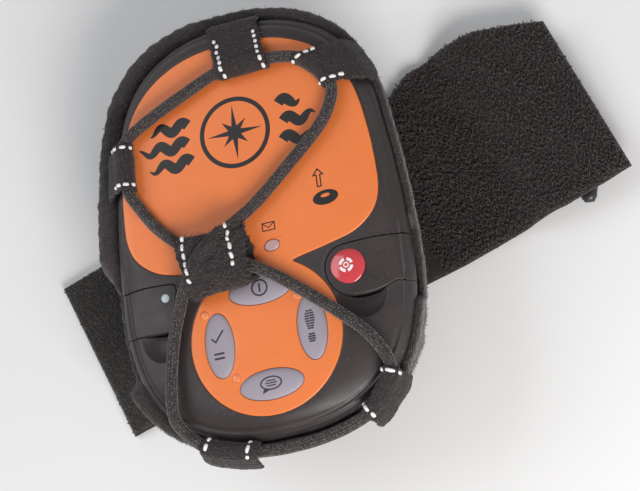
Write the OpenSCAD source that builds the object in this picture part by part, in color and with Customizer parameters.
// Personal satellite emergency beacon held in an elastic arm-strap carrier.
// Millimetres. +Z out of the front face, +Y towards the antenna end, +X to the right of the keys.
// The origin is on the arm side of the strap, under the middle of the beacon.

/* [Beacon housing] */
// Width of the housing at its widest section
body_w = 66; // [65:0.5:67]
// Length of the housing
body_l = 94; // [93:0.5:95]
// Height of the front plate above the arm side of the strap
face_z = 30; // [30:0.1:30.2]
// Wall thickness of both housing shells
wall = 2.4; // [2.2:0.1:2.6]

/* [Keys] */
// Half length of an oval key
key_a = 7.0; // [6.8:0.1:7.1]
// Half width of an oval key
key_b = 3.25; // [3.0:0.05:3.3]
// Radius of the circle that the four keys stand on
key_ring = 10.4; // [10.2:0.1:10.6]
// Gap round each key
key_gap = 0.18; // [0.12:0.02:0.24]
// Distance a key rises above the front plate
key_proud = 0.7; // [0.5:0.1:0.8]

/* [Guarded buttons] */
// Diameter of the red dome on the distress cover
dome_d = 7.6; // [7:0.1:8]
// Thickness of the two hinged covers
cover_t = 1.4; // [1.2:0.1:1.5]
// Radius of the cover hinge pins
pin_r = 0.5; // [0.4:0.05:0.5]

/* [Battery bay] */
// Diameter of one AAA cell
cell_d = 10.5; // [10.3:0.1:10.5]
// Length of one AAA cell
cell_l = 44.5; // [44:0.1:44.5]
// Distance between cell centres
cell_pitch = 11; // [10.8:0.1:11.2]

/* [Carrier] */
// Diameter of the elastic cord
cord_d = 2.6; // [2.6:0.1:3.0]
// Thickness of the padded cup wall
cup_t = 2.4; // [2.0:0.1:2.5]
// Angle of the arm strap to the housing's width
strap_angle = 20; // [18:0.5:22]
// Thickness of the strap
strap_t = 2.0; // [1.8:0.1:2.0]
// Diameter of the buckle ring's wire
ring_wire = 2.8; // [2.6:0.1:2.8]

/* [Hidden] */
$fn = 48;
sx = body_w / 66;
sy = body_l / 94;
dial = [0, -25.6];
dial_r = 17;
seam_z = 18.5;
ceiling_z = 26.2;
floor_z = 28.4;
board_z = 19.0;
key_board_z = 22.0;
sos_at = [19.6, -14.2];
help_at = [-25.4, -14.8];
hinge_x = 31.2;
hinge_z = 23.5;
bosses = [[13, 36], [-13, 36], [13, -36], [-13, -36]];

// ---- curves -------------------------------------------------------------
function cr(a, b, c, d, t) = 0.5 * (2 * b + (c - a) * t + (2 * a - 5 * b + 4 * c - d) * t * t + (3 * b - a - 3 * c + d) * t * t * t);
function spline(P, k) = let (n = len(P)) [for (i = [0:n - 1], j = [0:k - 1]) cr(P[(i + n - 1) % n], P[i], P[(i + 1) % n], P[(i + 2) % n], j / k)];
function both_sides(H) = concat(H, [for (i = [len(H) - 2:-1:1]) [-H[i].x, H[i].y]]);
function inset(P, d) = let (n = len(P)) [for (i = [0:n - 1]) let (t = P[(i + 1) % n] - P[(i + n - 1) % n], u = t / norm(t)) P[i] - d * [u.y, -u.x]];
function oval(c, a, b, n = 40, turn = 0) = [for (i = [0:n - 1]) let (w = 360 * i / n, x = a * cos(w), y = b * sin(w)) [c.x + x * cos(turn) - y * sin(turn), c.y + x * sin(turn) + y * cos(turn)]];
// strap coordinates: s along the strap, t across it
function st(s, t) = [s * cos(strap_angle) - t * sin(strap_angle), s * sin(strap_angle) + t * cos(strap_angle)];

// half outline of the housing at its widest level, from the bottom up the right side
half_body = [[0, -47], [9, -46.3], [17.5, -43.6], [25, -38.4], [30, -30.5], [32.6, -20], [33, -9], [32.6, 3], [31.4, 15], [29.6, 26], [26, 35], [20, 41.5], [11, 45.8], [0, 47]];
body_line = spline([for (p = both_sides(half_body)) [p.x * sx, p.y * sy]], 3);
// half outline of the orange plate above the key dial
half_plate = [[0, -12.5], [5, -12], [8.3, -10.3], [16, -8.7], [22.6, -6.9], [27, -3.4], [28.8, 1], [29, 7], [28.4, 15], [26.8, 24], [23.6, 31], [18, 36.6], [10, 40.2], [0, 41.2]];
plate_line = spline(both_sides(half_plate), 3);

module loft(L) {
    n = len(L[0][1]);
    m = len(L);
    polyhedron(points = [for (l = L, p = l[1]) [p.x, p.y, l[0]]],
        faces = concat([[for (i = [0:n - 1]) i]], [[for (i = [n - 1:-1:0]) (m - 1) * n + i]],
            [for (k = [0:m - 2], i = [0:n - 1]) [k * n + i, (k + 1) * n + i, (k + 1) * n + (i + 1) % n, k * n + (i + 1) % n]]), convexity = 6);
}
function frame_side(t) = let (s = cross(t, [0, 0, 1])) s / norm(s);
module tube(P, r, sides = 8) {
    n = len(P);
    points = [for (i = [0:n - 1]) let (t0 = P[(i + 1) % n] - P[(i + n - 1) % n], t = t0 / norm(t0), s = frame_side(t), u = cross(s, t))
        for (j = [0:sides - 1]) P[i] + r * cos(360 * j / sides) * s + r * sin(360 * j / sides) * u];
    polyhedron(points = points, faces = [for (i = [0:n - 1], j = [0:sides - 1])
        [i * sides + j, i * sides + (j + 1) % sides, ((i + 1) % n) * sides + (j + 1) % sides, ((i + 1) % n) * sides + j]], convexity = 12);
}
module helix(c, r0, r1, h, turns, wire, up) {
    k = 12;
    n = turns * k + 1;
    P = [for (i = [0:n - 1]) let (f = i / (n - 1), r = r0 + (r1 - r0) * f) [c.x + r * cos(360 * i / k), c.y + up * (wire + f * (h - 2 * wire)), c.z + r * sin(360 * i / k)]];
    points = [for (i = [0:n - 1]) let (t0 = P[min(i + 1, n - 1)] - P[max(i - 1, 0)], t = t0 / norm(t0), s0 = cross(t, [0, 1, 0]), s = s0 / norm(s0), u = cross(s, t))
        for (j = [0:5]) P[i] + wire * cos(60 * j) * s + wire * sin(60 * j) * u];
    polyhedron(points = points, faces = concat([[for (j = [5:-1:0]) j]], [[for (j = [0:5]) (n - 1) * 6 + j]],
        [for (i = [0:n - 2], j = [0:5]) [i * 6 + j, i * 6 + (j + 1) % 6, (i + 1) * 6 + (j + 1) % 6, (i + 1) * 6 + j]]), convexity = 8);
}

// ---- housing ------------------------------------------------------------
// level of the housing surface and how far inside the widest outline it lies
levels = [[5, 9.5], [6.5, 7], [9.5, 5], [13, 3.4], [18.5, 1.6], [22, 0.5], [24.6, 0], [26.6, 0.45], [28.4, 1.7], [29.5, 3.7]];
function level(i) = levels[i];
module body_between(lo, hi, shrink = 0, drop = 0) loft([for (i = [lo:hi]) [level(i)[0] - drop, inset(body_line, level(i)[1] + shrink)]]);

module plate_2d(g = 0) {
    polygon(inset(plate_line, -g));
    translate(dial) circle(r = dial_r + g, $fn = 96);
}
module key_hole_2d(i, g) polygon(oval(dial + key_ring * [cos(90 * i), sin(90 * i)], key_b + g, key_a + g, 40, 90 * i));
module lens_2d(g = 0) polygon(oval([4, -6.3], 1.9 + g, 1.3 + g, 24, 8));
led_at = [[-8.1, -12.9], [-13.0, -18.4], [-7.6, -33.2], [7.9, -18.3]];

module sos_cover_2d(g = 0) {
    translate(sos_at) circle(r = 4.8 + g);
    polygon([[19.6, -9.4 + g], [26, -9.1 + g], [36, -9 + g], [36, -19.2 - g], [27, -19 - g], [19.6, -19 - g]]);
}
module help_cover_2d(g = 0) polygon([[-36, -9.2 + g], [-26, -9.4 + g], [-20 + g, -9.9 + g], [-18.7 + g, -11], [-21 + g, -20.1 - g], [-27, -19.6 - g], [-36, -19.4 - g]]);

module hinge_cut(side) translate([side * hinge_x, -14.1, hinge_z]) rotate([90, 0, 0]) {
    cylinder(r = 1.95, h = 10.8, center = true);
    cylinder(r = pin_r + 0.02, h = 13.4, center = true);
    intersection() {
        cylinder(r = 2.75, h = 11.2, center = true);
        translate([side > 0 ? 0 : -4, -4, -6]) cube([4, 4.1, 12]);
    }
}
module case_screw_column(h0, h1, r) for (b = bosses) translate([b.x, b.y, h0]) cylinder(r = r, h = h1 - h0);

module front_case() color([0.17, 0.165, 0.17]) difference() {
    union() {
        difference() {
            body_between(4, 9);
            loft([[seam_z - 1, inset(body_line, 1.6 + wall)], [22, inset(body_line, 0.5 + wall)], [24.6, inset(body_line, wall)], [ceiling_z, inset(body_line, 0.4 + wall)]]);
        }
        case_screw_column(seam_z, ceiling_z + 0.2, 2.6);
        for (s = [-1, 1]) translate([s * 29.75, -14.1, 23.7]) cube([2.1, 16, 5.6], center = true);
    }
    translate([0, 0, floor_z]) linear_extrude(4) plate_2d(0.08);
    for (i = [0:3]) translate([0, 0, ceiling_z - 1]) linear_extrude(4) key_hole_2d(i, key_gap);
    translate([0, 0, ceiling_z - 1]) linear_extrude(4) lens_2d(0.05);
    for (p = led_at) translate([p.x, p.y, ceiling_z - 1]) cylinder(r = 0.85, h = 4, $fn = 24);
    for (m = [0, 1]) difference() {
        translate([0, 0, 23.5]) linear_extrude(8) { if (m == 0) sos_cover_2d(0.25); else help_cover_2d(0.25); }
        body_between(3, 9, 2.6, 2.6);
    }
    for (s = [-1, 1]) hinge_cut(s);
    translate([sos_at.x, sos_at.y, ceiling_z - 1]) cylinder(r = 3.2, h = 4);
    translate([help_at.x, help_at.y, ceiling_z - 1]) cylinder(r = 2.8, h = 4);
    translate([21.8, -20.9, 36.6]) sphere(r = 9);
    translate([-25.2, -21.6, 36.6]) sphere(r = 9);
    case_screw_column(seam_z - 1, 25, 0.8);
}
module rear_case() color([0.15, 0.145, 0.15]) difference() {
    union() {
        difference() {
            body_between(0, 4);
            loft([[6.9, inset(body_line, 9.2)], [9.5, inset(body_line, 5 + wall)], [13, inset(body_line, 3.4 + wall)], [seam_z + 1, inset(body_line, 1.4 + wall + 0.6)]]);
        }
        translate([-19.3, -26.2, 6.5]) cube([38.6, 53.4, seam_z - 6.5]);
        intersection() { case_screw_column(6, seam_z, 3.4); body_between(0, 4); }
        for (y = [-29.6, 30.6]) translate([0, y, 6]) cylinder(r = 3.0, h = 7);
    }
    translate([-17.6, -24.5, 4]) cube([35.2, 50, 13.7]);
    translate([0, 0, 4]) linear_extrude(2.7) door_2d(0.15);
    translate([0, 0, 6.6]) linear_extrude(0.75) difference() { seal_2d(19.1); seal_2d(17.9); }
    case_screw_column(4, 10.2, 2.1);
    case_screw_column(4, 20, 1.15);
    for (y = [-29.6, 30.6]) translate([0, y, 4]) cylinder(r = 1.25, h = 8.5);
    translate([0, 0, seam_z - 0.8]) linear_extrude(2) difference() { polygon(inset(body_line, 2.3)); polygon(inset(body_line, 3.3)); }
}
module case_seal() color([0.55, 0.12, 0.1]) translate([0, 0, seam_z - 0.78]) linear_extrude(0.76) difference() {
    polygon(inset(body_line, 2.34));
    polygon(inset(body_line, 3.26));
}
module faceplate() color([0.86, 0.42, 0.2]) difference() {
    translate([0, 0, floor_z]) linear_extrude(face_z - floor_z) plate_2d(0);
    for (i = [0:3]) translate([0, 0, floor_z - 1]) linear_extrude(4) key_hole_2d(i, key_gap);
    translate([0, 0, floor_z - 1]) linear_extrude(4) lens_2d(0.05);
    for (p = led_at) translate([p.x, p.y, floor_z - 1]) cylinder(r = 0.85, h = 4, $fn = 24);
}
module key(i) color([0.56, 0.54, 0.58]) {
    c = dial + key_ring * [cos(90 * i), sin(90 * i)];
    loft([for (l = [[26.1, 0], [face_z + 0.1, 0], [face_z + 0.45 * key_proud + 0.1, 0.35], [face_z + key_proud, 1.3]]) [l[0], oval(c, key_b - l[1], key_a - l[1], 40, 90 * i)]]);
    translate([0, 0, 25.4]) linear_extrude(0.7) polygon(oval(c, key_b + 0.7, key_a + 0.7, 40, 90 * i));
    translate([c.x, c.y, 24.9]) cylinder(r = 1.6, h = 0.5);
}
switch_at = concat([for (i = [0:3]) dial + key_ring * [cos(90 * i), sin(90 * i)]], [sos_at, help_at]);
board_line = [[-26, -9], [-27, -17], [-25, -26], [-19.5, -33.5], [-9.5, -39], [9.5, -39], [19.5, -33.5], [25, -26], [25, -17], [24, -9]];
module keypad_board() color([0.1, 0.33, 0.2]) difference() {
    translate([0, 0, key_board_z]) linear_extrude(1.0) polygon(board_line);
    for (b = bosses) translate([b.x, b.y, key_board_z - 1]) cylinder(r = 2.9, h = 3);
}
module keypad_mat() color([0.5, 0.48, 0.52]) difference() {
    translate([0, 0, key_board_z + 1]) linear_extrude(1.2) polygon([for (p = board_line) [p.x * 0.97, (p.y + 24) * 0.97 - 24]]);
    for (p = switch_at) translate([p.x, p.y, key_board_z]) cylinder(r = 3.1, h = 1.5);
    for (b = bosses) translate([b.x, b.y, key_board_z]) cylinder(r = 2.9, h = 3);
    for (p = led_at) translate([p.x, p.y, key_board_z]) cylinder(r = 1.15, h = 3, $fn = 24);
    translate([4, -10.6, key_board_z + 2]) cube([3, 2.4, 5], center = true);
}
module dome_switches() color([0.75, 0.75, 0.77]) for (p = switch_at) translate([p.x, p.y, key_board_z + 1])
    rotate_extrude() polygon([[0, 0], [2.7, 0], [2.6, 0.12], [1.9, 0.28], [1, 0.38], [0, 0.42]]);
module status_leds() color([0.9, 0.9, 0.85]) {
    for (p = led_at) translate([p.x, p.y, key_board_z + 1.35]) cube([1.2, 0.9, 0.7], center = true);
    translate([4, -10.6, key_board_z + 1.35]) cube([1.2, 0.9, 0.7], center = true);
}
module indicator_lenses() color([0.95, 0.75, 0.5]) for (p = led_at) translate([p.x, p.y, 24.3]) {
    cylinder(r = 0.8, h = face_z - 24.3, $fn = 24);
    translate([0, 0, face_z - 24.3]) intersection() { translate([0, 0, -0.7]) sphere(r = 1.06, $fn = 24); cylinder(r = 0.8, h = 1, $fn = 24); }
}
module message_lens() color([0.7, 0.66, 0.72]) {
    translate([0, 0, 25.05]) linear_extrude(face_z + 0.15 - 25.05) lens_2d(0);
    translate([2.9, -11.1, 25.05]) cube([2.2, 5, 1.1]);
}
module board_connector() color([0.12, 0.12, 0.13]) translate([-7, -36.6, board_z + 1.2]) cube([14, 3.2, key_board_z - board_z - 1.2]);
module main_board() color([0.08, 0.3, 0.19]) difference() {
    translate([0, 0, board_z]) linear_extrude(1.2) polygon([[-26, -30], [-14, -39.5], [14, -39.5], [26, -30], [27.5, -8], [26, 16], [22, 30], [12, 40], [-12, 40], [-22, 30], [-26, 16], [-27.5, -8]]);
    for (b = bosses) translate([b.x, b.y, board_z - 1]) cylinder(r = 2.9, h = 4);
    for (p = [[-20, 22], [20, 22], [-21, -24], [21, -24]]) translate([p.x, p.y, board_z - 1]) cylinder(r = 0.9, h = 4);
    for (p = [[1.5, 29.5], [2, 4]]) translate([p.x, p.y, board_z - 1]) cylinder(r = 0.6, h = 4, $fn = 24);
}
module rf_shield() color([0.72, 0.73, 0.74]) translate([-15, -32, board_z + 1.2]) difference() {
    cube([30, 20, 1.7]);
    translate([0.3, 0.3, -1]) cube([29.4, 19.4, 2.4]);
    for (i = [0:4], j = [0:2]) translate([3 + 6 * i, 4 + 6 * j, 0]) cylinder(r = 0.6, h = 3, $fn = 16);
}
module gps_antenna() color([0.82, 0.74, 0.6]) translate([0, 29.5, board_z + 1.2]) {
    difference() { translate([-9, -9, 0]) cube([18, 18, 4]); translate([1.5, 0, -1]) cylinder(r = 0.55, h = 6, $fn = 24); }
    translate([1.5, 0, -1.5]) cylinder(r = 0.5, h = 5.6, $fn = 24);
    translate([-7.5, -7.5, 4]) cube([15, 15, 0.05]);
}
module transmit_antenna() color([0.8, 0.72, 0.58]) translate([0, 4, board_z + 1.2]) {
    difference() { translate([-12.5, -12.5, 0]) cube([25, 25, 4.5]); translate([2, 0, -1]) cylinder(r = 0.55, h = 7, $fn = 24); }
    translate([2, 0, -1.5]) cylinder(r = 0.5, h = 6.1, $fn = 24);
    translate([-11, -11, 4.5]) cube([22, 22, 0.05]);
}
module sos_button() color([0.8, 0.1, 0.13]) translate([sos_at.x, sos_at.y, 0]) {
    translate([0, 0, 26.1]) cylinder(r = 3.0, h = 1.5);
    translate([0, 0, 25.4]) cylinder(r = 3.9, h = 0.7);
    translate([0, 0, 24.8]) cylinder(r = 1.5, h = 0.6);
}
module help_button() color([0.75, 0.78, 0.8]) translate([help_at.x, help_at.y, 0]) {
    translate([0, 0, 26.1]) cylinder(r = 2.6, h = 1.4);
    translate([0, 0, 25.4]) cylinder(r = 3.0, h = 0.7);
    translate([0, 0, 24.8]) cylinder(r = 1.5, h = 0.6);
}
module cover_shell() difference() {
    body_between(5, 9);
    body_between(4, 9, cover_t, cover_t);
    translate([-40, -60, 10]) cube([80, 120, hinge_z - 10]);
}
module knuckle(side) translate([side * hinge_x, -14.1, hinge_z]) rotate([90, 0, 0]) cylinder(r = 1.2, h = 9.6, center = true);
module knuckle_bore(side) translate([side * hinge_x, -14.1, hinge_z]) rotate([90, 0, 0]) cylinder(r = pin_r + 0.05, h = 12, center = true);
module sos_cover() color([0.19, 0.18, 0.19]) difference() {
    union() {
        intersection() { cover_shell(); translate([0, 0, 20]) linear_extrude(12) sos_cover_2d(0); }
        knuckle(1);
    }
    knuckle_bore(1);
    translate([sos_at.x, sos_at.y, 28.75]) cylinder(r = dome_d / 2 + 0.03, h = 2);
}
module sos_dome() color([0.82, 0.13, 0.18]) translate([sos_at.x, sos_at.y, 28.77]) intersection() {
    cylinder(r = dome_d / 2, h = 2);
    translate([0, 0, 1.5 - 9]) sphere(r = 9, $fn = 72);
}
module help_cover() color([0.19, 0.18, 0.19]) difference() {
    union() {
        intersection() { cover_shell(); translate([0, 0, 20]) linear_extrude(12) help_cover_2d(0); }
        knuckle(-1);
    }
    knuckle_bore(-1);
    translate([-21.9, -12.6, 29.2]) cylinder(r = 1.1, h = 2, $fn = 24);
}
module help_mark() color([0.68, 0.76, 0.8]) translate([-21.9, -12.6, 29.2]) cylinder(r = 1.08, h = 0.35, $fn = 24);
module hinge_pin(side) color([0.7, 0.7, 0.72]) translate([side * hinge_x, -14.1, hinge_z]) rotate([90, 0, 0]) cylinder(r = pin_r, h = 13, center = true);

// ---- power --------------------------------------------------------------
module seal_2d(x) { y = x + 6.9; translate([0, 0.5]) polygon([[-x, -y], [x, -y], [x, y], [-x, y]]); }
module door_2d(g = 0) polygon([[19.8 + g, -25], [19.8 + g, 26], [8, 33.6 + g], [-8, 33.6 + g], [-19.8 - g, 26], [-19.8 - g, -25], [-8, -32.6 - g], [8, -32.6 - g]]);
module battery(i) color([0.2, 0.3, 0.5]) translate([i * cell_pitch, i == 0 ? 1 : 0, 12.2]) rotate([i == 0 ? -90 : 90, 0, 0]) {
    translate([0, 0, -cell_l / 2]) cylinder(r = cell_d / 2, h = cell_l - 0.9);
    translate([0, 0, cell_l / 2 - 0.9]) cylinder(r = 1.9, h = 0.9);
}
module contact_springs() color([0.75, 0.75, 0.72]) for (i = [-1:1]) {
    up = i == 0 ? 1 : -1;
    helix([i * cell_pitch, i == 0 ? -24.1 : 25.1, 12.2], 3.8, 2.2, 2.75, 3, 0.35, up);
}
module contact_plates() color([0.78, 0.76, 0.68]) for (i = [-1:1], s = [-1, 1])
    translate([i * cell_pitch, s > 0 ? 25.3 : -24.3, 12.2]) cube([9, 0.36, 9], center = true);
module battery_door() color([0.16, 0.155, 0.16]) difference() {
    translate([0, 0, 5.0]) linear_extrude(1.55) door_2d(0);
    for (y = [-29.6, 30.6]) translate([0, y, 4]) { cylinder(r = 1.6, h = 4); cylinder(r = 3.3, h = 2.1); }
    for (i = [-3:3]) translate([-12, i * 6 - 0.4, 4.7]) cube([24, 0.8, 0.6]);
}
module door_seal() color([0.6, 0.14, 0.12]) translate([0, 0, 6.62]) linear_extrude(0.7) difference() { seal_2d(19.06); seal_2d(17.94); }
module door_latch(y) color([0.72, 0.72, 0.74]) translate([0, y, 5.05]) difference() {
    union() { cylinder(r = 3.1, h = 1.0); cylinder(r = 1.2, h = 7); }
    translate([-2.4, -0.4, -1]) cube([4.8, 0.8, 1.6]);
}
module case_screws() color([0.6, 0.6, 0.62]) for (b = bosses) translate([b.x, b.y, 8.4]) difference() {
    union() { cylinder(r = 1.9, h = 1.7); cylinder(r = 1.05, h = 10.0); cylinder(r = 0.75, h = 15.5); }
    for (a = [0, 90]) rotate(a) translate([-1.3, -0.25, -1]) cube([2.6, 0.5, 1.8]);
}
module board_screws() color([0.65, 0.65, 0.66]) for (p = [[-20, 22], [20, 22], [-21, -24], [21, -24]]) translate([p.x, p.y, board_z + 1.2]) difference() {
    union() { cylinder(r = 1.5, h = 0.8); translate([0, 0, -1.6]) cylinder(r = 0.8, h = 2); }
    for (a = [0, 90]) rotate(a) translate([-1, -0.2, 0.4]) cube([2, 0.4, 1]);
}

// ---- carrier ------------------------------------------------------------
cup_in = [[4.9, 9.2], [6.5, 6.7], [9.5, 4.7], [13, 3.1], [18.5, 1.3], [24.2, -0.3]];
cup_out = [[strap_t, 9.0], [3.2, 6.6], [6.5, 4.3], [9.5, 2.3], [13, 0.7], [18.5, -1.1], [24.2, -2.0]];
// the rim dips past the hinge of each cover
module rim_notches() {
    translate([29, -21.9, 20.9]) cube([10, 15.6, 11]);
    translate([-41, -26, 19.5]) cube([12, 21, 12]);
}
module carrier_cup() color([0.13, 0.12, 0.12]) difference() {
    loft([for (l = cup_out) [l[0], inset(body_line, l[1] + 2.4 - cup_t)]]);
    loft(concat([for (l = cup_in) [l[0], inset(body_line, l[1])]], [[30, inset(body_line, -1.9)]]));
    rim_notches();
}
module rim_binding() color([0.1, 0.095, 0.095]) difference() {
    translate([0, 0, 24.2]) linear_extrude(1.5) difference() {
        translate([-1.2, 0.7]) polygon(inset(body_line, -3.2));
        polygon(inset(body_line, -0.3));
    }
    rim_notches();
}
wing_line = [st(33.6, -24), st(50, -24.6), st(58, -25.9), st(74.7, -26), st(74.7, 13.5), st(68, 17), st(60, 20.5), st(50, 22.3), st(42, 22.3), st(36.5, 20), st(33.6, 17)];
module wing_profile() rotate([0, 0, strap_angle]) rotate([90, 0, 0]) translate([0, 0, -40]) linear_extrude(80)
    polygon([[33, 0.02], [47, 0.02], [57, 4.6], [80, 4.6], [80, 6.8], [56.4, 6.8], [46.4, 2.2], [33, 2.2]]);
module strap_wing() color([0.12, 0.11, 0.11]) {
    intersection() { linear_extrude(10) polygon(wing_line); wing_profile(); }
    hinge_roll(33.2, -23.6, 16.6, 1);
}
module hinge_roll(s, t0, t1, side) translate([st(s, t0).x, st(s, t0).y, 1.0]) rotate([0, 0, strap_angle]) rotate([-90, 0, 0]) {
    cylinder(r = 0.98, h = t1 - t0);
    translate([side > 0 ? 0 : -0.6, -0.98, 0]) cube([0.6, 1.96, t1 - t0]);
}
module strap_centre() color([0.12, 0.11, 0.11]) linear_extrude(strap_t - 0.02) polygon([st(-35.8, -18), st(31.9, -24), st(31.9, 17), st(-35.8, 22)]);
module strap_tail() color([0.12, 0.11, 0.11]) {
    translate([0, 0, 0.02]) linear_extrude(1.3) polygon([st(-52.6, -17.6), st(-37.5, -18.4), st(-37.5, 22.4), st(-52.8, 23)]);
    hinge_roll(-37.1, -18.2, 22, -1);
}
module hook_patch() color([0.16, 0.15, 0.15]) translate([0, 0, 1.34]) linear_extrude(1.2) polygon([st(-52.2, -17.2), st(-38.6, -17.9), st(-38.6, 21.9), st(-52.4, 22.5)]);
ring_at = [st(63, -26.6), st(72.6, -13), st(72.6, 8), st(63, 19.6)];
module rod(a, b, z, r) { d = b - a; translate([a.x, a.y, z]) rotate([0, 0, atan2(d.y, d.x)]) rotate([0, 90, 0]) cylinder(r = r, h = norm(d)); }
module buckle_ring() color([0.15, 0.15, 0.16]) for (i = [0:3]) {
    rod(ring_at[i], ring_at[(i + 1) % 4], 2.3, ring_wire / 2);
    translate([ring_at[i].x, ring_at[i].y, 2.3]) cylinder(r = ring_wire / 2 + 0.2, h = ring_wire + 0.2, center = true);
}
module ring_keeper() color([0.12, 0.11, 0.11]) difference() {
    union() {
        rod(st(63, -18), st(63, 12), 2.3, 2.2);
        translate([0, 0, 3.95]) linear_extrude(0.6) polygon([st(57.6, -18), st(63, -18), st(63, 12), st(57.6, 12)]);
    }
    rod(st(63, -19), st(63, 13), 2.3, ring_wire / 2 + 0.06);
}
// route of the elastic: upper loop, then under the sleeve, lower loop, and back over itself
route = [[2.5, 3.5, 31.7], [-3, -0.4, 32.7], [-7.2, -3.8, 34.4], [-9.6, -6, 34.9], [-12.4, -8.8, 34.4], [-16.2, -13, 32.6], [-18.6, -16, 31.7], [-20.8, -20.6, 31.4], [-22.2, -26.6, 31.3], [-23.1, -33, 31.3],
    [-22.9, -38.6, 30.2], [-21, -42.3, 28.2], [-16.8, -46.2, 27.4], [-12.4, -47.8, 27.3], [-8, -48.8, 27.3], [0, -49.4, 27.3], [8, -48.9, 27.3], [15, -47.4, 27.4], [20.3, -45.2, 27.8], [23.2, -42.2, 28.3],
    [25.8, -38.9, 29.2], [25.4, -34.4, 30.8], [22, -29, 31.4], [17, -24.1, 32], [11, -18.9, 32.5], [5, -14, 32.5], [-1, -10, 32], [-5.4, -8, 31.7], [-9.6, -6, 31.7], [-15, -3, 31.7], [-20.4, 2, 31.7],
    [-24.2, 7.7, 31.7], [-26.6, 12.6, 31.7], [-26.6, 18.4, 31.7], [-26, 23.4, 31.7], [-20, 27.3, 31.7], [-11, 31.3, 31.7], [-3, 34.3, 31.8], [3, 34.7, 31.8], [9.4, 34.8, 31.8], [15.6, 33.5, 31.7], [19.4, 30.6, 31.7],
    [22, 27, 31.7], [21.9, 22.6, 31.7], [18.4, 17, 31.7], [10, 9.6, 31.7]];
module elastic_cord() color([0.16, 0.155, 0.155]) tube(spline(route, 2), cord_d / 2 - 0.02, 8);
module sleeve_block(a, b, w, h) {
    d = b - a;
    translate([a.x, a.y, a.z]) rotate([0, -asin(d.z / norm(d)), atan2(d.y, d.x)]) translate([0, -w / 2, -h / 2]) cube([norm(d), w, h]);
}
module sleeve_bore(a, b, r) {
    d = b - a;
    translate([a.x, a.y, a.z]) rotate([0, 90 - asin(d.z / norm(d)), atan2(d.y, d.x)]) translate([0, 0, -2]) cylinder(r = r, h = norm(d) + 4, $fn = 32);
}
// a folded webbing tab: the fold holds the elastic between a and b, and its tails run over the housing's edge to c and d on the rim
module tab(a, b, c, d, over = 0) color([0.09, 0.085, 0.085]) difference() {
    union() {
        sleeve_block(a, b, 4.9, 4.6);
        if (over == 0) hull() {
            sleeve_block(a - [0, 0, 0.2], b - [0, 0, 0.2], 1.4, 1.2);
            sleeve_block(c, d, 1.6, 1.1);
        }
        else for (k = [0, 1]) hull() {
            if (k == 0) sleeve_block(a - [0, 0, 0.2], b - [0, 0, 0.2], 1.4, 1.2); else sleeve_block(c, d, 1.6, 1.1);
            sleeve_block(edge_point(a, c, over), edge_point(b, d, over), 1.6, 1.2);
        }
    }
    sleeve_bore(a, b, 1.85);
    body_between(4, 9, -0.12, -0.12);
    translate([0, 0, 28]) linear_extrude(face_z + 0.12 - 28) plate_2d(0.12);
}
function edge_point(p, q, f) = let (m = p + (q - p) * f) [m.x, m.y, 29.9];
module top_tab() tab([-3.2, 34.6, 31.9], [9.2, 34.6, 31.9], [-5.2, 49.3, 26.4], [7.6, 49.4, 26.4], 0.74);
module upper_left_tab() tab([-26.7, 13.2, 31.9], [-26.2, 23.2, 31.9], [-35, 14, 26.4], [-33.6, 24, 26.4], 0.46);
module upper_right_tab() tab([16.4, 33.3, 31.9], [22.3, 26.3, 31.9], [26.2, 39.6, 26.4], [31.2, 31, 26.4], 0.62);
module lower_right_tab() tab([25.9, -38.6, 28.7], [20, -45.6, 27.9], [29, -40.6, 26.4], [23.6, -46, 26.4]);
module bottom_tab() tab([-7.2, -48.9, 27.6], [-17, -46, 27.6], [-7, -49.8, 26.6], [-17.6, -46.8, 26.6]);
module centre_sleeve() color([0.09, 0.085, 0.085]) difference() {
    translate([0, 0, 30.08]) linear_extrude(7.0) polygon([[-16.4, 0.4], [-3.4, 1.2], [-2, -4], [-2.6, -11.4], [-14.8, -12.8], [-16.6, -7]]);
    tube(spline(route, 2), 1.72, 8);
}

rear_case();
front_case();
case_seal();
faceplate();
key(1);  // power_key
key(2);  // check_key
key(0);  // track_key
key(3);  // message_key
keypad_mat();
dome_switches();
keypad_board();
board_connector();
main_board();
rf_shield();
gps_antenna();
transmit_antenna();
status_leds();
indicator_lenses();
message_lens();
sos_button();
help_button();
sos_cover();
sos_dome();
help_cover();
help_mark();
hinge_pin(1);  // sos_hinge_pin
hinge_pin(-1);  // help_hinge_pin
battery(-1);  // battery_left
battery(0);  // battery_centre
battery(1);  // battery_right
contact_springs();
contact_plates();
battery_door();
door_seal();
door_latch(30.6);  // door_latch_top
door_latch(-29.6);  // door_latch_bottom
case_screws();
board_screws();
carrier_cup();
rim_binding();
strap_centre();
strap_wing();
strap_tail();
hook_patch();
buckle_ring();
ring_keeper();
elastic_cord();
centre_sleeve();
top_tab();
upper_left_tab();
upper_right_tab();
lower_right_tab();
bottom_tab();
